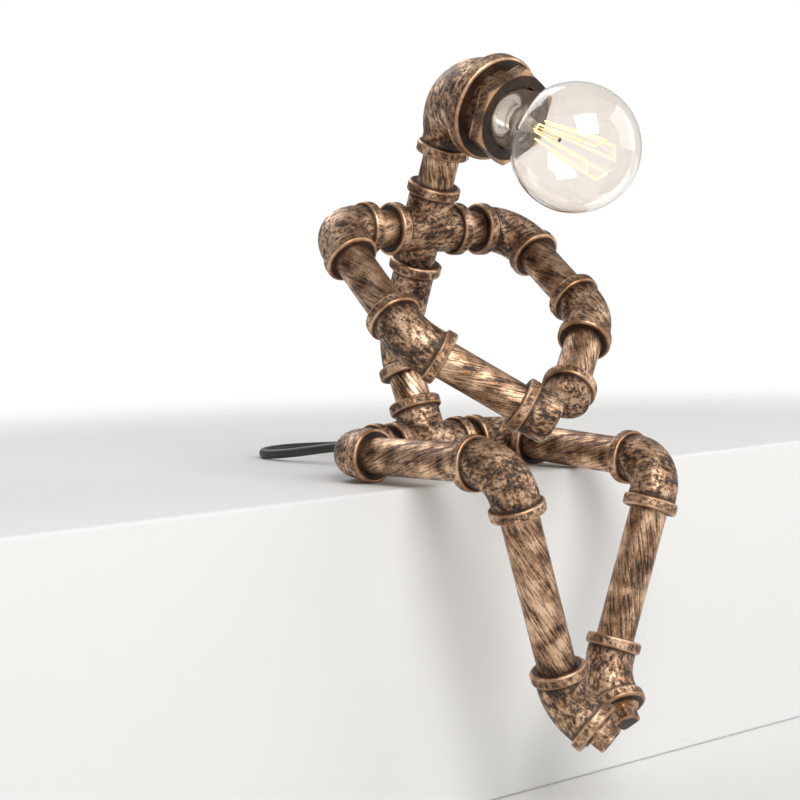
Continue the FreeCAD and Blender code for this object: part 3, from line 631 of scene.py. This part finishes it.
@dataclass(frozen=True)
class Glass:
    """Clear glass, with a faint warm light in it when the lamp is on."""

    tint: Colour = (0.905, 0.872, 0.84, 1.0)
    glow: Colour = (1.0, 0.80, 0.62, 1.0)
    strength: float = 0.0

    def build(self, name: str, effects: Effects) -> bpy.types.Material:
        """Make the finish.

        Args:
            name: The material's name.
            effects: The shared groups.

        Returns:
            The material.
        """
        material, g, shader = new_material(name)
        place = g.node("ShaderNodeTexCoord").outputs["Object"]
        grain = effects.place(g, effects.grain, Place=place, Scale=40.0)
        shader.inputs["Base Color"].default_value = self.tint
        g.feed(shader.inputs["Roughness"], g.maths("MULTIPLY", grain.outputs["Marks"], 0.03))
        shader.inputs["Metallic"].default_value = 0.0
        shader.inputs["Transmission Weight"].default_value = 1.0
        shader.inputs["IOR"].default_value = 1.46
        shader.inputs["Emission Color"].default_value = self.glow
        shader.inputs["Emission Strength"].default_value = self.strength
        return material


@dataclass(frozen=True)
class LitWire:
    """The glowing wire of the bulb, a little cooler in random patches."""

    hot: Colour = (1.0, 0.74, 0.36, 1.0)
    cool: Colour = (1.0, 0.52, 0.17, 1.0)
    strength: float = 1.8

    def build(self, name: str, effects: Effects) -> bpy.types.Material:
        """Make the finish.

        Args:
            name: The material's name.
            effects: The shared groups.

        Returns:
            The material.
        """
        material, g, shader = new_material(name)
        place = g.node("ShaderNodeTexCoord").outputs["Object"]
        grain = effects.place(g, effects.grain, Place=place, Scale=600.0)
        colour = g.mix(g.band(grain.outputs["Marks"], 0.35, 0.55), self.cool, self.hot)
        g.feed(shader.inputs["Base Color"], colour)
        g.feed(shader.inputs["Emission Color"], colour)
        shader.inputs["Emission Strength"].default_value = self.strength
        shader.inputs["Roughness"].default_value = 0.5
        return material


def dress(node: str, material: bpy.types.Material) -> None:
    """Give a piece of the fixed frame its finish.

    Args:
        node: The piece's name in the frame.
        material: The finish.
    """
    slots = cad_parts[node].material_slots
    if not slots:
        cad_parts[node].data.materials.append(material)
    for slot in slots:
        slot.material = material


def link_mesh(name: str, points: list[Vector], faces: list[tuple[int, ...]]) -> bpy.types.Object:
    """Make a smooth mesh object.

    Args:
        name: The object's name.
        points: The corners.
        faces: The numbers of each face's corners.

    Returns:
        The object.
    """
    mesh = bpy.data.meshes.new(name)
    mesh.from_pydata([tuple(p) for p in points], [], faces)
    mesh.validate()
    mesh.shade_smooth()
    piece = bpy.data.objects.new(name, mesh)
    bpy.context.scene.collection.objects.link(piece)
    return piece


def lathe(name: str, origin: Vector, axis: Vector, profile: list[tuple[float, float]], count: int,
          closed: bool = False) -> bpy.types.Object:
    """Turn a profile about an axis.

    Args:
        name: The piece's name.
        origin: Where distances along the axis start.
        axis: The axis.
        profile: Distance and radius of each ring.
        count: The number of points round each ring.
        closed: Whether the last ring joins the first.

    Returns:
        The piece.
    """
    side = square_to(X_AXIS if abs(axis.x) < 0.8 else Y_AXIS, axis)
    up = axis.cross(side)
    points, rings, faces = [], [], []
    for along, radius in profile:
        first = len(points)
        if radius < 1e-6:
            points.append(origin + axis * along)
            rings.append([first] * count)
            continue
        rings.append(list(range(first, first + count)))
        for k in range(count):
            a = 2 * math.pi * k / count
            points.append(origin + axis * along + (side * math.cos(a) + up * math.sin(a)) * radius)
    following = rings[1:] + (rings[:1] if closed else [])
    for here, there in zip(rings, following):
        for k in range(count):
            m = (k + 1) % count
            face = tuple(dict.fromkeys((here[k], here[m], there[m], there[k])))
            if len(face) > 2:
                faces.append(face)
    return link_mesh(name, points, faces)


@dataclass
class Fittings:
    """The pipes, elbows, tee, cross, caps and plugs of the figure."""

    skeleton: Skeleton
    effects: Effects

    def dress(self) -> None:
        """Give each pipe its streaks and each casting its speckle and bright beads, with a painted highlight on
        the bead rims.
        """
        for name, (start, axis) in self.skeleton.pipes.items():
            finish = AntiqueBronze(Grime.PIPE)
            dress(name, finish.build(name + "_bronze", self.effects, start, axis, [], {}))
            log.info("dressed %s", name)
        for name, ports in self.skeleton.ports.items():
            finish = AntiqueBronze(Grime.DARK_CASTING if name in DARK_PIECES else Grime.CASTING)
            beads = SPECIAL_BEADS.get(name, {})
            first = ports[0]
            dress(name, finish.build(name + "_bronze", self.effects, first.face, first.out, ports, beads))
            log.info("dressed %s", name)


@dataclass
class Bulb:
    """The holder, and the bulb that is the figure's head."""

    skeleton: Skeleton
    effects: Effects
    mouth: float = 49.9 * MM
    centre: float = 98.5 * MM
    sphere_radius: float = 35.4 * MM
    neck_radius: float = 17.3 * MM
    seam: float = 43.9 * MM
    seam_radius: float = 12.5 * MM
    wall: float = 0.9 * MM
    neck_steps: int = 12
    ball_steps: int = 28
    points_round: int = 96

    def outline(self, offset: float) -> list[tuple[float, float]]:
        """The glass outline, from the seam to the crown.

        Args:
            offset: How far it is drawn in from the outside, in metres.

        Returns:
            Distance along the axis and radius of each ring.
        """
        ball, neck = self.sphere_radius - offset, self.neck_radius - offset
        span = self.centre - self.mouth
        flare = (span ** 2 + neck ** 2 - ball ** 2) / (2 * (ball - neck))
        angle = math.atan2(neck + flare, span)
        last = self.ball_steps
        profile = [(self.seam, self.seam_radius - offset), (self.mouth - 2.0 * MM, neck - 1.4 * MM)]
        for k in range(self.neck_steps + 1):
            t = math.pi / 2 - (math.pi / 2 - angle) * k / self.neck_steps
            profile.append((self.mouth + flare * math.cos(t) * (1.0 if k else 0.0),
                            neck + flare - flare * math.sin(t)))
        for k in range(1, last + 1):
            t = (math.pi - angle) * (1.0 - k / last)
            profile.append((self.centre + ball * math.cos(t), ball * math.sin(t) if k < last else 0.0))
        return profile

    def build(self) -> None:
        """Build the glass and dress the other pieces."""
        head, gaze = self.skeleton.head, self.skeleton.gaze
        outside = self.outline(0.0)
        inside = self.outline(self.wall)
        rings = outside + inside[::-1]
        glass = lathe("bulb_envelope", head, gaze, rings, self.points_round, closed=True)
        glass.data.materials.append(Glass(strength=0.02).build("bulb_glass_clear", self.effects))
        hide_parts("bulb_glass")
        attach(glass, "bulb")
        dress("bulb_stem", Glass().build("stem_glass", self.effects))
        dress("bulb_filament", LitWire().build("lit_wire", self.effects))
        cap = Moulded((0.72, 0.70, 0.66, 1.0), 0.3, metallic=1.0).build("cap_metal", self.effects)
        dress("bulb_cap", cap)
        brass = Moulded((0.78, 0.56, 0.26, 1.0), 0.3, metallic=1.0).build("contact_brass", self.effects)
        for name in ("bulb_contact", "holder_sleeve", "holder_contact"):
            dress(name, brass)
        holder = Moulded((0.03, 0.028, 0.025, 1.0), 0.4).build("holder_moulding", self.effects)
        dress("lamp_holder", holder)
        log.info("built bulb_envelope and dressed the holder")


@dataclass
class Flex:
    """The cord, its gland, switch and plug."""

    effects: Effects
    diameter: float = 6.0 * MM
    length: float = 1.74
    floor: float = 3.05
    switch_x: float = 63.0
    coil_middle: tuple[float, float] = (108.0, 56.0)
    coil_radius: float = 45.0
    coil_step: float = 6.6
    coil_rise: float = 6.55
    quarters_in: int = 12
    per_quarter: int = 4
    switch_height: float = 5.6
    plug_height: float = 6.8
    rib_count: int = 9
    rib_pitch: float = 2.5
    rib_radius: float = 5.2
    rib_taper: float = 0.17
    rib_groove: float = 0.55

    def coil(self) -> list[tuple[float, float, float]]:
        """The points of the coil's turns, in millimetres."""
        points = []
        last = 2 * self.quarters_in + 2
        for k in range(last * self.per_quarter + 1):
            quarter = k / self.per_quarter
            inward = min(quarter, last - quarter, self.quarters_in + 0.6)
            radius = self.coil_radius - self.coil_step * inward / 4
            angle = math.radians(180 + 90 * quarter)
            climb = min(max((quarter - self.quarters_in) / 2, 0.0), 1.0)
            points.append((self.coil_middle[0] + radius * math.cos(angle),
                           self.coil_middle[1] + radius * math.sin(angle),
                           self.floor + self.coil_rise * climb))
        return points

    def route(self) -> list[tuple[float, float, float]]:
        """Every point that the cord follows, in millimetres."""
        x, z = self.switch_x, self.floor
        lead = [(0, 24.0, 13.5), (0, 36, 13.5), (-1.6, 64, 12.6), (-4.2, 94, 9.2), (-6.6, 123, 5.2),
                (-7, 148.4, z + 0.15), (2.4, 164.6, z), (18.6, 174, z), (37.4, 174, z),
                (53.6, 164.6, z + 0.05), (x - 0.3, 148.4, z + 0.65)]
        link = [(x, y, self.switch_height) for y in (130, 119.5, 93.5, 82.5)] + [(x, 71, z), (x, 62, z)]
        coil = self.coil()
        end = coil[-1]
        tail = [(end[0], end[1] + 6, end[2]), (end[0], end[1] + 13, end[2])]
        tail += [(end[0], y, self.plug_height) for y in (83, 96)]
        return lead + link + coil + tail

    def build(self) -> None:
        """Build the cord and its strain relief, and dress the pieces on it."""
        curve = bpy.data.curves.new("cord_flex", "CURVE")
        curve.dimensions = "3D"
        curve.bevel_depth = self.diameter / 2
        curve.bevel_resolution = 5
        curve.resolution_u = 5
        curve.use_fill_caps = True
        points = self.route()
        spline = curve.splines.new("NURBS")
        spline.points.add(len(points) - 1)
        for point, place in zip(spline.points, points):
            point.co = (place[0] * MM, place[1] * MM, place[2] * MM, 1.0)
        spline.order_u = 3
        spline.use_endpoint_u = True
        flex = bpy.data.objects.new("cord_flex", curve)
        bpy.context.scene.collection.objects.link(flex)
        sheath = Moulded((0.018, 0.018, 0.019, 1.0), 0.45).build("cord_sheath", self.effects)
        curve.materials.append(sheath)
        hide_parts("cord_lead", "cord_link", "cord_coil", "cord_tail")
        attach(flex, "pelvis")
        ribs = []
        for k in range(self.rib_count):
            along, radius = self.rib_pitch * k, self.rib_radius - self.rib_taper * k
            groove = radius - self.rib_groove
            ribs += [(along * MM, radius * MM), ((along + 1.5) * MM, radius * MM),
                     ((along + 1.6) * MM, groove * MM), ((along + 2.4) * MM, groove * MM)]
        ribs += [(22.6 * MM, 3.7 * MM), (22.6 * MM, 3.3 * MM)]
        relief = lathe("cord_relief", Vector((0.0, 24.5 * MM, 13.5 * MM)), Y_AXIS, ribs, 40)
        relief.data.materials.append(sheath)
        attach(relief, "pelvis")
        black = Moulded((0.022, 0.021, 0.020, 1.0), 0.34).build("switch_moulding", self.effects)
        for name in ("cord_gland", "switch_base", "switch_cover", "plug_body"):
            dress(name, black)
        rocker = Moulded((0.045, 0.044, 0.042, 1.0), 0.28).build("rocker_moulding", self.effects)
        dress("switch_rocker", rocker)
        pins = Moulded((0.75, 0.70, 0.58, 1.0), 0.22, metallic=1.0).build("pin_plating", self.effects)
        for name in ("plug_pin_a", "plug_pin_b"):
            dress(name, pins)
        log.info("built cord_flex and cord_relief")


@dataclass
class Studio:
    """The camera, the soft light, the pale floor and the plain step that the figure sits on."""

    picture: float = 800.0
    sensor: float = 36.0
    focal: float = 1956.65
    distance: float = 1160.36 * MM
    yaw: float = 0.7167
    pitch: float = 0.0617
    roll: float = -0.0286
    middle: tuple[float, float] = (426.38, 444.99)
    floor_level: float = -185.0 * MM
    floor_reach: float = 6.0
    step_low: tuple[float, float] = (-1.6, -0.062)
    step_high: tuple[float, float] = (1.6, 1.6)
    step_edge: float = 2.0 * MM
    dim: float = 0.34
    pelvis_height: float = 15.5 * MM
    aim: tuple[float, float, float] = (0.0, -0.04, 0.06)

    def camera(self) -> None:
        """Place the camera where the picture was taken from."""
        forward = Vector((math.sin(self.yaw) * math.cos(self.pitch), math.cos(self.yaw) * math.cos(self.pitch),
                          -math.sin(self.pitch)))
        flat = Vector((math.cos(self.yaw), -math.sin(self.yaw), 0.0))
        tall = flat.cross(forward)
        right = flat * math.cos(self.roll) + tall * math.sin(self.roll)
        up = tall * math.cos(self.roll) - flat * math.sin(self.roll)
        half = self.picture / 2
        x, y = (self.middle[0] - half) / self.focal, -(self.middle[1] - half) / self.focal
        place = -self.distance * (forward + x * right + y * up) + Z_AXIS * self.pelvis_height
        data = bpy.data.cameras.new("camera")
        data.sensor_width = self.sensor
        data.lens = self.focal / self.picture * self.sensor
        data.clip_start = 0.01
        camera = bpy.data.objects.new("camera", data)
        bpy.context.scene.collection.objects.link(camera)
        camera.matrix_world = Matrix(((right.x, up.x, -forward.x, place.x),
                                      (right.y, up.y, -forward.y, place.y),
                                      (right.z, up.z, -forward.z, place.z), (0.0, 0.0, 0.0, 1.0)))
        bpy.context.scene.camera = camera

    def lamp(self, name: str, place: tuple[float, float, float], size: float, power: float) -> None:
        """Add a soft square lamp that points at the figure.

        Args:
            name: The lamp's name.
            place: Where it stands, in metres.
            size: The length of its side, in metres.
            power: Its power, in watts.
        """
        data = bpy.data.lights.new(name, "AREA")
        data.size = size
        data.energy = power
        lamp = bpy.data.objects.new(name, data)
        bpy.context.scene.collection.objects.link(lamp)
        lamp.location = place
        aim = Vector(self.aim) - Vector(place)
        lamp.rotation_euler = aim.to_track_quat("-Z", "Y").to_euler()

    def world(self) -> None:
        """A dim surround that looks white to the camera and through glass."""
        world = bpy.data.worlds.new("studio")
        bpy.context.scene.world = world
        world.use_nodes = True
        g = Graph(world.node_tree)
        path = g.node("ShaderNodeLightPath")
        seen = g.maths("MAXIMUM", path.outputs["Is Camera Ray"], path.outputs["Is Transmission Ray"])
        background = g.node("ShaderNodeBackground")
        g.feed(background.inputs["Color"], (1.0, 1.0, 1.0, 1.0))
        strength = g.maths("ADD", self.dim, g.maths("MULTIPLY", seen, 1.0 - self.dim))
        g.feed(background.inputs["Strength"], strength)
        out = g.node("ShaderNodeOutputWorld")
        g.tree.links.new(background.outputs[0], out.inputs[0])

    def stage(self, effects: Effects) -> None:
        """Build the floor and the step."""
        pale = PaleStage().build("pale_stage", effects)
        z, far = self.floor_level, self.floor_reach
        around = ((-far, -far), (far, -far), (far, far), (-far, far))
        floor = link_mesh("floor", [Vector((x, y, z)) for x, y in around], [(0, 1, 2, 3)])
        floor.data.materials.append(pale)
        low, high = Vector((*self.step_low, z)), Vector((*self.step_high, 0.0))
        corners = [Vector((x, y, t)) for t in (low.z, high.z) for x, y in
                   ((low.x, low.y), (high.x, low.y), (high.x, high.y), (low.x, high.y))]
        faces = [(0, 3, 2, 1), (4, 5, 6, 7), (0, 1, 5, 4), (1, 2, 6, 5), (2, 3, 7, 6), (3, 0, 4, 7)]
        step = link_mesh("step", corners, faces)
        step.data.shade_flat()
        step.data.materials.append(pale)
        soft = step.modifiers.new("edge", "BEVEL")
        soft.width = self.step_edge
        soft.segments = 3

    def build(self, effects: Effects) -> None:
        """Set the whole scene."""
        self.camera()
        self.world()
        self.stage(effects)
        self.lamp("key", (-0.55, -1.5, 1.3), 1.2, 33.0)
        self.lamp("fill", (1.3, -0.9, 0.7), 1.3, 9.0)
        self.lamp("back", (0.3, 1.4, 1.3), 1.2, 12.0)
        bpy.context.scene.view_settings.view_transform = "Standard"


def main() -> None:
    """Build the lamp's looks in order."""
    logging.basicConfig(level=logging.INFO)
    effects = Effects()
    skeleton = Skeleton().lay_out()
    Studio().build(effects)
    Flex(effects).build()
    Fittings(skeleton, effects).dress()
    Bulb(skeleton, effects).build()


if __name__ == "__main__":
    main()
